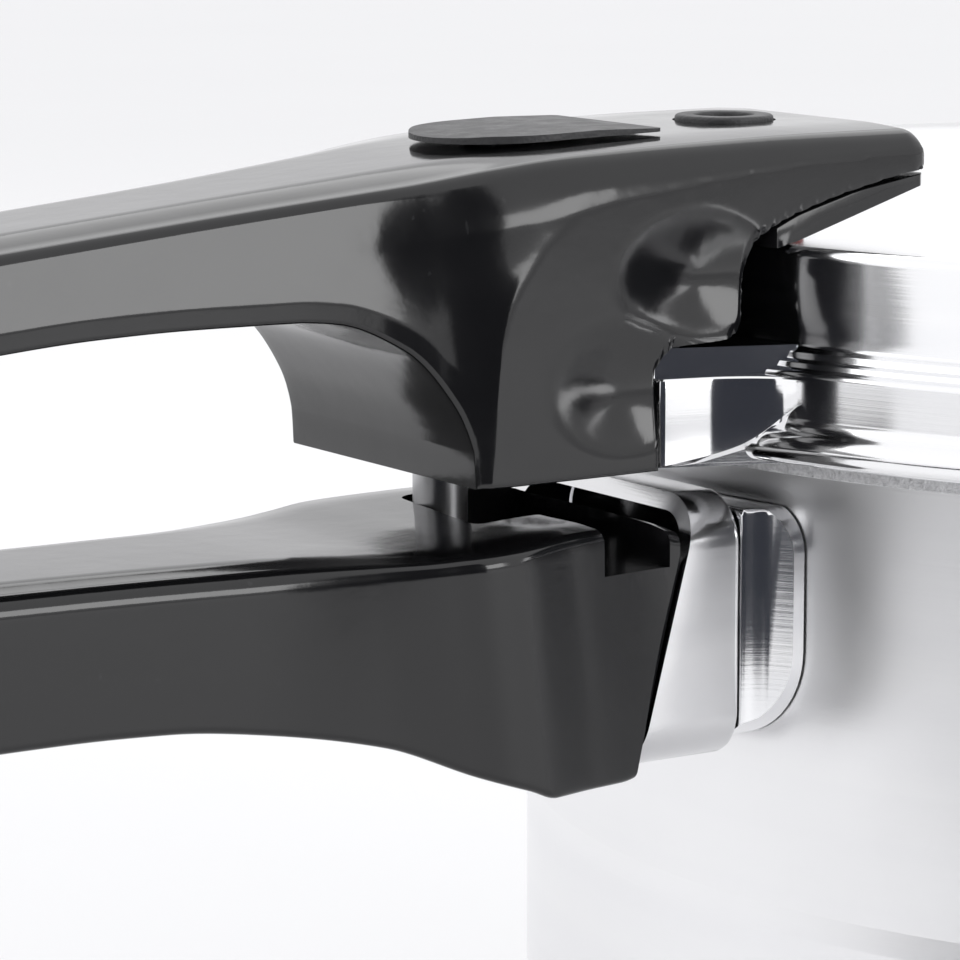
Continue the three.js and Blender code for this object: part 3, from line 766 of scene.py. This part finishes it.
# ---- helper handle ----
HELPER_TOP = through([(117, 130), (120, 131.4), (135, 131.6), (150, 130.6), (160, 127.6), (165, 123.5)])
HELPER_LOW = through([
    (117, 102.6), (120, 101.4), (130, 103.4), (142, 113), (150, 116.4), (160, 117.6), (165, 118.6),
])
HELPER_HALF = through([(117, 20.4), (125, 22), (138, 28), (150, 30.5), (160, 29), (165, 24)])


def helper_side(x, z, z1, z0):
    radius = np.minimum(4.5, (z1 - z0) * 0.45)
    return HELPER_HALF(x) - edge_round(z1 - z, radius) - edge_round(z - z0, np.minimum(3.5, (z1 - z0) * 0.45))


def build_helper_handle():
    stations = stations_between([(117, 155, 1.2), (155, 165, 0.5)])
    fall = through([(117, 0.8), (150, 0.8), (165, 0.6)])
    body = handle_skin(stations, HELPER_TOP, HELPER_LOW, helper_side, fall, down=40)
    tenon = block(100, 136, -8.3, 8.3, 105.7, 121.3)
    body = cut(body, tenon, post(126, 0, 2.8, 90, 112), post(126, 0, 4.9, 90, 105.3))
    finish_piece("helper_grip", body, [BLACK], "root", ["helper_handle"], 38)


# =====================================================================
# lid
# =====================================================================
def build_sealing_ring():
    low, high = RIM_Z + 0.3, SHOULDER_Z - 2.9
    path = rounded([
        (106.6, low, 0.5), (114.6, low, 0.6), (114.6, high, 0.6), (106.6, high, 0.5),
        (107.4, RIM_Z + 1.8, 0), (109.6, RIM_Z + 1.6, 0.1), (107.4, RIM_Z + 1.3, 0),
    ], closed=True)
    finish_piece("gasket", spun(path, closed=True), [RUBBER], "seal", ["sealing_ring"], 35)


DOME_TOP = [(DOME_R - 0.35, DOME_Z - 0.15, 1.5), (60, CROWN_Z - 0.7, 300), (0, CROWN_Z, 0)]


def lid_profile():
    inner = DOME_R - LID_THICK
    return rounded([
        (0, CROWN_Z - LID_THICK, 0), (60, CROWN_Z - LID_THICK - 0.7, 300),
        (inner - 0.6, DOME_Z - LID_THICK, 3.4),
        (inner, SHOULDER_Z - 0.2, 2), (FLANGE_R, SHOULDER_Z - 0.2, 0.4), (FLANGE_R, SHOULDER_Z - 2.6, 0.4),
        (LIP_R - 1, SHOULDER_Z - 2.6, 2.5), (LIP_R - 1, LIP_Z, 0),
        (LIP_R, LIP_Z, 0.2), (LIP_R, LIP_Z + 1.75, 0.15), (SKIRT_R + 1.9, LIP_Z + 1.9, 1.4),
        (SKIRT_R + 2.3, LIP_Z + 4.8, 2.2), (SKIRT_R, LIP_Z + 6.4, 2), (SKIRT_R, SHOULDER_Z, 0.8),
        (SKIRT_R - 1.3, SHOULDER_Z + 0.35, 0.3), (SKIRT_R - 1.6, SHOULDER_Z + 1.0, 0.25),
        (SKIRT_R - 2.4, SHOULDER_Z + 1.3, 0.3), (SKIRT_R - 2.7, SHOULDER_Z + 2.1, 0.3),
        (DOME_R + 0.45, SHOULDER_Z + 2.7, 0.8), (DOME_R + 0.25, SHOULDER_Z + 4.2, 0), *DOME_TOP,
    ], step=7)


def build_lid():
    ear_side = rounded([
        (-130, 137.8, 1.2), (-112, 137.8, 0), (-112, 152.5, 0), (-130, 152.5, 2.8),
    ], closed=True, step=9)
    taper = rounded([
        (-131, -19.2, 0), (-111, -26.2, 0), (-111, 26.2, 0), (-131, 19.2, 0),
    ], closed=True)
    ear = boolean(prism(ear_side, -28, 28, axis="Y"), [prism(taper, 130, 160)], "INTERSECT")
    flare = rounded([
        (-129.8, -21.6, 1), (-122, -23.4, 14), (-116.6, -26.2, 9), (-113.2, -33.4, 0), (-108, -33, 0),
        (-108, 33, 0), (-113.2, 33.4, 0), (-116.6, 26.2, 9), (-122, 23.4, 14), (-129.8, 21.6, 1),
    ], closed=True, step=6)
    over_bead = rounded([
        (-40, 147.6, 0), (-30, 146.4, 8), (-24.6, 140.5, 6), (-21.4, 138, 2),
        (21.4, 138, 2), (24.6, 140.5, 6),
        (30, 146.4, 8), (40, 147.6, 0), (40, 152, 0), (-40, 152, 0),
    ], closed=True)
    flare = boolean(
        prism(flare, 137, SHOULDER_Z - 0.6, 0.6, 3), [prism(over_bead, -140, -100, axis="X")], "INTERSECT"
    )
    ear = joined(ear, flare)
    clear = post(0, 0, LIP_R - 0.5, 130, SHOULDER_Z - 2, steps=TURN_STEPS)
    bosses = [
        post(0, 0, 11, 162.9, CROWN_Z + 1, 0.5, steps=96),
        post(SAFETY_X, 0, 10, 162.4, CROWN_Z + 0.5, 0.5, steps=96),
        post(FLOAT_X, 0, 5, FLOAT_UNDER, DOME_Z + 1.4, 0.4),
    ]
    holes = [post(0, 0, 4.3, 150, 180), post(SAFETY_X, 0, 5.3, 150, 180), post(FLOAT_X, 0, 3.3, 150, 180)]
    for y in (-14, 14):
        holes += [post(-124.6, y, 2.8, 130, 160), post(-124.6, y, 4.6, 130, 141.3)]
    shell = joined(spun(lid_profile()), cut(ear, clear), *lugs(*LID_LUG), *bosses)
    shell = cut(shell, *holes)

    def choose(face):
        centre = face.calc_center_median()
        radius = math.hypot(centre.x, centre.y)
        inside = face.normal.z < -0.2 or (radius < LIP_R - 0.5 and centre.z < SHOULDER_Z - 2)
        if centre.z < LIP_Z + 1.78 and radius < LIP_R + 0.4:
            return 1
        return 2 if inside and radius < LIP_R - 0.4 else 0

    finish_piece(
        "lid", shell, [POLISHED, CAST, INSIDE], "lid", ["lid_shell"], 22, choose
    )


# ---- lid handle ----
UPPER_TOP = through([
    (HANDLE_END, 157.3), (-292, 159.6), (-288, 161.7), (-282, 163.2), (-265, 165), (-235, 168.1),
    (-213, 170.1), (-189, 172.4), (-176, 173.7), (-162, 175.2), (-150, 176.4), (-137, 177.2),
    (-122, 177.7), (-105, 178), (-92, 178), (-90.4, 177.6), (-89.5, 176.2),
])
UPPER_LOW_POINTS = [
    (HANDLE_END, 153.4), (-292, 151.6), (-288, 150.4), (-282, 149.8), (-265, 151), (-240, 154.6),
    (-217, 157.3), (-203, 158.3), (-191, 158.6), (-178, 158.6), (-172.8, 158.2), (-164.6, 154.7),
    (-159, 148.4), (-156.4, 142), (-156.1, 137.8), (-130.4, 137.9), (-130.35, 150.3),
    (-127.9, 152.9), (-120.4, 153.4), (-118.4, 155), (-117.4, 162), (-116.2, 165), (-113.5, 166.8),
    (-109.7, 168.3), (-100.5, 170.8), (-89.5, 172.6),
]
UPPER_LOW = through(UPPER_LOW_POINTS)
NOTCH_X = -130.4  # from here on the handle's underside is cut to fit over the ear and the dome
BEFORE_NOTCH = through([point for point in UPPER_LOW_POINTS if point[0] <= NOTCH_X] + [(-89.5, 138)])
UPPER_HALF = through([
    (HANDLE_END, 9), (-292, 11.4), (-288, 13.4), (-282, 14.8), (-265, 16), (-235, 15.8),
    (-205, 15.6), (-190, 15.9), (-178, 16.9), (-168, 18.6), (-160, 20.4), (-150, 22.0),
    (-140, HANDLE_HALF), (-92, HANDLE_HALF), (-90.4, 22.4), (-89.5, 21.6),
])
CREASE = [(-154.4, 136), (-154, 148), (-153.3, 155), (-152.2, 159), (-150.5, 161.9), (-146.7, 166.7),
          (-142, 169.6), (-136.7, 171.3), (-129, 172.3), (-121.6, 173.3), (-109.1, 174.4), (-89, 175.2)]
CREASE_Z = through([(-155, 130), (-154, 148), *CREASE[2:]])
LIP = 2.5  # height of the plain band along the grip's lower edge
DRAFT = 0.17  # the grip's sides lean in by this much of their height
CHAMFER = 1.3  # fall of the top towards its edges


def dimple(x, z, centre_x, centre_z, radius_x, radius_z, depth):
    """A round-bottomed hollow in the handle's side."""
    reach = ((x - centre_x) / radius_x) ** 2 + ((z - centre_z) / radius_z) ** 2
    return depth * np.clip(1 - reach, 0, 1) ** 2


def low_edge():
    """Points along the handle's lower outline, close enough to measure distances from."""
    corners = np.array([x for x, _ in UPPER_LOW_POINTS])
    xs = np.sort(np.concatenate([np.linspace(HANDLE_END, -89.5, 1600), corners]))
    return np.stack([xs, UPPER_LOW(xs)], 1)


def upper_side(x, z, z1, z0):
    low_gap = distance_to(low_edge(), x, z)
    half = UPPER_HALF(x)
    drop = smooth_step((x + 172) / 22)  # 0 on the grip, 1 at the drop over the ear
    lean = DRAFT * np.maximum(low_gap - LIP, 0)
    lean = lean * (1 - drop) + drop * 0.5 * np.maximum(0, 6.5 - (z1 - z)) ** 1.25 / 1.9
    main = half - np.minimum(lean, 3.4)
    on_plate = (z < CREASE_Z(x)) & (x > -154)
    plate_gap = distance_to(CREASE, x, z)
    plate = HANDLE_HALF - np.maximum(0, HANDLE_HALF - UPPER_HALF(np.maximum(x, -140)))
    near = np.exp(-plate_gap / 2.2)
    side = np.where(on_plate, plate, main + (plate - main) * near)
    hollow = dimple(x, z, -125, 161.5, 13, 8.5, 1.5) + dimple(x, z, -135, 148.5, 13, 9, 1.3)
    side = side - np.where(on_plate, hollow, 0)
    side = side - edge_round(z1 - z, 1.5) - edge_round(low_gap, 0.6)
    return np.maximum(side, 0.5)


def build_lid_handle():
    stations = stations_between([
        (HANDLE_END, -284, 0.5), (-284, -185, 1.4), (-185, -162, 0.7), (-162, -157, 0.4), (-157, -156, 0.1),
        (-156, -155, 0.2), (-155, -134, 0.5), (-134, -112, 0.3), (-112, -92, 0.5), (-92, -89.5, 0.25),
    ])
    fall = through([(HANDLE_END, 1), (-280, CHAMFER), (-165, CHAMFER), (-140, 0.4), (-89.5, 0.35)])
    body = handle_skin(stations, UPPER_TOP, BEFORE_NOTCH, upper_side, fall, across=26, down=72)
    edge = [(x, UPPER_LOW(x)) for x in np.arange(NOTCH_X + 0.05, -88, 0.4)]
    corner = (NOTCH_X, edge[0][1])
    notch = prism([(NOTCH_X, 130), corner, *edge, (-80, 175), (-80, 130)], -30, 30, axis="Y")
    rooms = [
        notch,
        block(-151, -129.4, -4.5, 13.5, 130, 172.4),
        block(-132, -99, -7, 13.5, 164.4, 172.4),
        block(-142.6, -128, -4.2, 4.2, 170, 185),
        post(WINDOW_X, 0, 3.4, 170, 185),
        post(FLOAT_X, 0, 2.6, 160, 175.4),
        post(WINDOW_X, 0, 6.6, 177.3, 185),
    ]
    rooms += [post(-124.6, y, 2.8, 150, 163) for y in (-14, 14)]
    body = cut(body, *rooms)
    finish_piece("upper_handle", body, [BLACK], "lid", ["lid_handle"], 40)


def build_handle_base():
    side = rounded([
        (-113, 164, 0), (-111.4, 164.2, 0), (-101.2, 167.3, 30), (-89.8, 170.8, 0.8), (-89.8, 172.2, 0.2),
        (-100.5, 170.45, 20), (-109.7, 167.95, 15), (-113, 166.5, 0),
    ], closed=True)
    plate = prism(side, -HANDLE_HALF + 0.2, HANDLE_HALF - 0.2, 0.2, 2, axis="Y")
    nose = prism(rounded([
        (-120, -23, 0), (-91, -22.7, 0), (-89.8, -21.6, 1), (-89.8, 21.6, 1), (-91, 22.7, 0), (-120, 23, 0),
    ], closed=True), 160, 175)
    seat = spun(
        [(0, 150), (DOME_R + 0.3, 150), *[(r + 0.3 if r else 0, z + 0.3) for r, z in rounded(
            [(DOME_R + 0.25, SHOULDER_Z + 4.2, 0), *DOME_TOP], step=12)]],
    )
    rooms = [block(-132, -99, -7, 13.5, 164.4, 172.4), post(FLOAT_X, 0, 2.6, 160, 175.4), seat]
    body = cut(boolean(plate, [nose], "INTERSECT"), *rooms)
    finish_piece("tongue_base", body, [BLACK], "lid", ["handle_base"], 35)


def build_window_ring():
    path = rounded([
        (3.7, 177.7, 0), (6.3, 177.7, 0), (6.3, 178.7, 0.45), (3.7, 178.7, 0.4),
    ], closed=True)
    finish_piece(
        "window_bezel", spun(path, WINDOW_X, 0, True, 96), [MATT], "lid", ["window_ring"], 35
    )


def build_slider():
    centre, radius, right = -138, 12, -122.6
    plan = rounded([
        (right, -radius, 1.2), (right, radius, 1.2),
        (centre - radius, radius, 11.9), (centre - radius, -radius, 11.9),
    ], closed=True, step=6)
    plate = prism(plan, 176, 181, axis="Z")
    side = rounded([
        (-151, 177.15, 0), (-137, 177.75, 20), (right + 1, 178.12, 0),
        (right + 1, 178.5, 0), (-132, 178.7, 30),
        (-146, 178.3, 12), (-151, 177.75, 0),
    ], closed=True)
    wedge = prism(side, -13, 13, axis="Y")
    stem = block(-142, -137, -3.6, 3.6, 170.4, 178.4)
    body = joined(boolean(plate, [wedge], "INTERSECT"), stem)
    finish_piece("thumb_slider", body, [MATT], "lock", ["slider_button"], 30)

    deck = block(-147.6, -109.6, -3, 12.4, 166.4, 170.1, 0.5)
    finger = block(-113.6, -109.6, -3, 3, 169, 172, 0.4)
    body = cut(joined(deck, finger), post(BAR_X, BAR_Y, BAR_R - 0.7, 160, 175))
    finish_piece("slider_tray", body, [MATT], "lock", ["slider_carriage"], 30)

    path = rounded([
        (0, 126.2, 0), (BAR_R, 126.2, 0.6), (BAR_R, 166, 0.3), (BAR_R - 1, 166, 0), (BAR_R - 1, 169.6, 0.3),
        (0, 169.6, 0),
    ])
    finish_piece(
        "locking_pin", spun(path, BAR_X, BAR_Y, steps=64), [STEEL], "lock", ["lock_bar"], 30
    )


# ---- valves ----
SEAT_Z = CROWN_Z + 1
UNDER_Z = CROWN_Z - LID_THICK - 1.5


def hex_nut(x, size, bore, low, high):
    path = rounded([(0, low, 0), (size - 0.7, low, 0), (size, low + 0.6, 0), (size, high - 0.6, 0),
                    (size - 0.7, high, 0), (0, high, 0)])
    body = spun(path, x, 0, steps=6)
    return cut(body, post(x, 0, bore, low - 1, high + 1))


def washer(x, radius, bore, low, high):
    return spun(rounded([(bore, low, 0.2), (radius, low, 0.4), (radius, high, 0.4), (bore, high, 0.2)], True),
                x, 0, True, 64)


def build_vent():
    path = rounded([
        (1.5, 151.6, 0.3), (4, 151.6, 0.4), (4, SEAT_Z + 0.3, 0),
        (7.5, SEAT_Z + 0.3, 0.4), (7.5, SEAT_Z + 4, 0.5),
        (4.2, SEAT_Z + 5, 0.6), (3.6, SEAT_Z + 11, 3), (2.6, SEAT_Z + 15, 0.4), (1.5, SEAT_Z + 15, 0.2),
    ], closed=True)
    finish_piece("vent_tube", spun(path, closed=True, steps=64), [STEEL], "lid", ["vent_pipe"], 30)
    finish_piece("vent_washer", washer(0, 8, 4.3, UNDER_Z - 1.8, UNDER_Z - 0.3), [RUBBER], "lid",
                 ["vent_seal"], 35)
    finish_piece("vent_hex", hex_nut(0, 8, 4.3, UNDER_Z - 6, UNDER_Z - 2.1), [STEEL], "lid",
                 ["vent_nut"], 25)
    path = rounded([(4.3, 152, 0), (8.6, 152, 0.6), (8.6, 154.4, 1), (7, 156.2, 0.6), (4.3, 156.2, 0)], True)
    cap = spun(path, closed=True, steps=72)
    slits = []
    for k in range(6):
        slit = block(6.6, 10, -0.5, 0.5, 151, 154)
        bmesh.ops.rotate(slit, matrix=Matrix.Rotation(math.tau * k / 6, 3, "Z"), verts=slit.verts)
        slits.append(slit)
    finish_piece("clog_guard", cut(cap, *slits), [STEEL], "lid", ["vent_cap"], 30)


def build_weight():
    low = SEAT_Z + 5.4
    path = rounded([
        (0, low + 11.4, 0), (3.4, low + 9.9, 0.3), (4.8, low, 0.3), (11, low, 0.5), (12, low + 1, 0.5),
        (12, low + 14, 0.5), (6, low + 15, 0.5), (5, low + 19, 0.6), (0, low + 19, 0),
    ])
    finish_piece("weight_core", spun(path, steps=96), [STEEL], "weight", ["pressure_weight"], 30)
    path = rounded([
        (0, low + 19.4, 0), (6.3, low + 19.4, 0.2), (6.3, low + 15.3, 0),
        (12.3, low + 15.3, 0), (12.3, low + 6, 0.3),
        (14.5, low + 6, 0.3), (15.5, low + 7, 0.8), (15.5, low + 18, 2.5),
        (12.5, low + 23, 2), (6, low + 23.6, 4),
        (0, low + 24, 0),
    ], step=9)
    cover = spun(path, steps=144)
    flutes = []
    for k in range(16):
        angle = math.tau * k / 16
        flutes.append(post(16.3 * math.cos(angle), 16.3 * math.sin(angle), 1.4, low + 8, low + 17, 0.6, 0.6, 20))
    finish_piece(
        "weight_knob", cut(cover, *flutes), [BLACK], "weight", ["weight_cover"], 35
    )


def build_safety_valve():
    seat, under = CROWN_Z + 0.5, CROWN_Z - LID_THICK - 2
    path = rounded([
        (2.6, under - 7, 0), (5, under - 7, 0.5), (5, seat + 0.3, 0),
        (9, seat + 0.3, 0.4), (9, seat + 5, 0.8),
        (7, seat + 9, 0.8), (5, seat + 9, 0.4), (5, seat + 4, 0.2), (2.6, seat + 4, 0.2),
    ], closed=True)
    finish_piece("valve_housing", spun(path, SAFETY_X, 0, True, 72), [BRASS], "lid",
                 ["safety_valve_body"], 30)
    path = rounded([
        (0, under - 4, 0), (2.2, under - 4, 0.4), (2.2, seat + 4.3, 0),
        (4.5, seat + 4.3, 0.3), (4.5, seat + 10, 1.2),
        (0, seat + 10, 0),
    ])
    finish_piece("valve_plug", spun(path, SAFETY_X, 0, steps=64), [RED], "lid",
                 ["safety_valve_plug"], 30)
    finish_piece("valve_washer", washer(SAFETY_X, 8, 5.3, under - 1.8, under - 0.3), [RUBBER], "lid",
                 ["safety_valve_seal"], 35)
    finish_piece("valve_hex", hex_nut(SAFETY_X, 8.6, 5.3, under - 6, under - 2.1), [BRASS], "lid",
                 ["safety_valve_nut"], 25)


def build_float():
    top = DOME_Z + 1.4
    path = rounded([
        (1.9, FLOAT_UNDER - 2.6, 0.2), (4, FLOAT_UNDER - 2.6, 0.4), (4, FLOAT_UNDER - 0.6, 0.4),
        (3, FLOAT_UNDER - 0.3, 0), (3, top + 0.3, 0), (4.2, top + 0.3, 0.3),
        (4.2, top + 1.6, 0.5), (1.9, top + 1.6, 0.2),
    ], closed=True)
    finish_piece("float_grommet", spun(path, FLOAT_X, 0, True, 48), [RUBBER], "lid",
                 ["float_seat"], 35)
    path = rounded([
        (0, 149.6, 0), (1.6, 149.6, 0.3), (1.6, top + 1.9, 0), (2.2, top + 1.9, 0.2),
        (2.2, 170.6, 0.6), (0, 170.6, 0),
    ])
    finish_piece(
        "float_stem", spun(path, FLOAT_X, 0, steps=48), [RED], "float", ["float_pin"], 30
    )
    finish_piece("float_e_clip", washer(FLOAT_X, 3.4, 1.9, 150.6, 151.8), [STEEL], "float",
                 ["float_clip"], 30)


# =====================================================================
# assembly
# =====================================================================
build_pot()
build_bracket("bracket_boss", "handle_bracket", -1, -149)
build_bracket("helper_boss", "helper_bracket", 1, -135)
build_rivet("rivet_near", "bracket_rivet_1", -1, -14)
build_rivet("rivet_far", "bracket_rivet_2", -1, 14)
build_rivet("helper_rivet_near", "helper_rivet_2", 1, 14)
build_rivet("helper_rivet_far", "helper_rivet_1", 1, -14)
build_collar()
build_lower_handle()
build_screw("lower_handle_bolt", "body_handle_screw", "root", -140, 0, 4.6, 99.4, 116)
build_helper_handle()
build_screw("helper_bolt", "helper_handle_screw", "root", 126, 0, 4.6, 101.7, 116)
build_sealing_ring()
build_lid()
build_lid_handle()
build_screw("ear_bolt_near", "lid_handle_screw_1", "lid", -124.6, -14, 4.3, 138.2, 162)
build_screw("ear_bolt_far", "lid_handle_screw_2", "lid", -124.6, 14, 4.3, 138.2, 162)
build_handle_base()
build_window_ring()
build_slider()
build_vent()
build_weight()
build_safety_valve()
build_float()


# =====================================================================
# floor and studio
# =====================================================================
def floor():
    material, tree, shader = new_material("studio_floor")
    tone = noise(tree, 3, 2)
    tree.links.new(
        mixed_colour(tree, tone, (0.8, 0.8, 0.805, 1), (0.815, 0.815, 0.82, 1)), shader.inputs["Base Color"]
    )
    shader.inputs["Roughness"].default_value = 0.6
    shader.inputs["Specular IOR Level"].default_value = 0.2
    bm = bmesh.new()
    bmesh.ops.create_grid(bm, x_segments=2, y_segments=2, size=12)
    mesh = bpy.data.meshes.new("floor")
    bm.to_mesh(mesh)
    bm.free()
    mesh.materials.append(material)
    plane = bpy.data.objects.new("floor", mesh)
    bpy.context.scene.collection.objects.link(plane)


def dark_flag(name, centre, facing, outline):
    """A black flag that only shows as a reflection in gloss and polish.

    facing is its azimuth in degrees; outline gives (sideways, up) points from its centre on the floor.
    """
    material, _, shader = new_material(name)
    shader.inputs["Base Color"].default_value = (0.012, 0.014, 0.022, 1)
    shader.inputs["Roughness"].default_value = 0.9
    bm = bmesh.new()
    bm.faces.new([bm.verts.new((0, sideways, up)) for sideways, up in outline])
    bmesh.ops.rotate(bm, matrix=Matrix.Rotation(math.radians(facing), 3, "Z"), verts=bm.verts)
    bmesh.ops.translate(bm, vec=(*centre, 0), verts=bm.verts)
    mesh = bpy.data.meshes.new(name)
    bm.to_mesh(mesh)
    bm.free()
    mesh.materials.append(material)
    card = bpy.data.objects.new(name, mesh)
    bpy.context.scene.collection.objects.link(card)
    card.visible_camera = False
    card.visible_diffuse = False
    card.visible_shadow = False


def area_light(name, location, target, size, power):
    data = bpy.data.lights.new(name, "AREA")
    data.shape = "RECTANGLE"
    data.size, data.size_y = size
    data.energy = power
    lamp = bpy.data.objects.new(name, data)
    lamp.location = location
    aim = Vector(target) - Vector(location)
    lamp.rotation_euler = aim.to_track_quat("-Z", "Y").to_euler()
    bpy.context.scene.collection.objects.link(lamp)


floor()
dark_flag("flag_low", (-0.69, -0.1), 0, [(-0.5, 0), (0.09, 0), (0.17, 0.025), (0.24, 0.063), (-0.5, 0.063)])
dark_flag("flag_tall", (-0.452, -0.605), 62.4, [
    (-0.442, 0), (0.75, 0), (0.75, 0.17), (0.5, 0.22), (0.442, 1.1), (-0.442, 1.1),
])
area_light("strip_right", (0.31, -1.41, 0.62), (-0.2, 0, 0.16), (0.75, 0.66), 6.5)
area_light("soft_top", (0.45, 0.85, 1.1), (-0.1, 0, 0.16), (1.2, 0.7), 2.6)
area_light("soft_left", (-1.2, 0.5, 1.0), (-0.1, 0, 0.14), (0.7, 0.7), 1.4)

world = bpy.data.worlds.new("studio")
bpy.context.scene.world = world
world.use_nodes = True
world.node_tree.nodes["Background"].inputs["Color"].default_value = (0.985, 0.985, 1.0, 1)
world.node_tree.nodes["Background"].inputs["Strength"].default_value = 1.1
bpy.context.scene.view_settings.view_transform = "Standard"
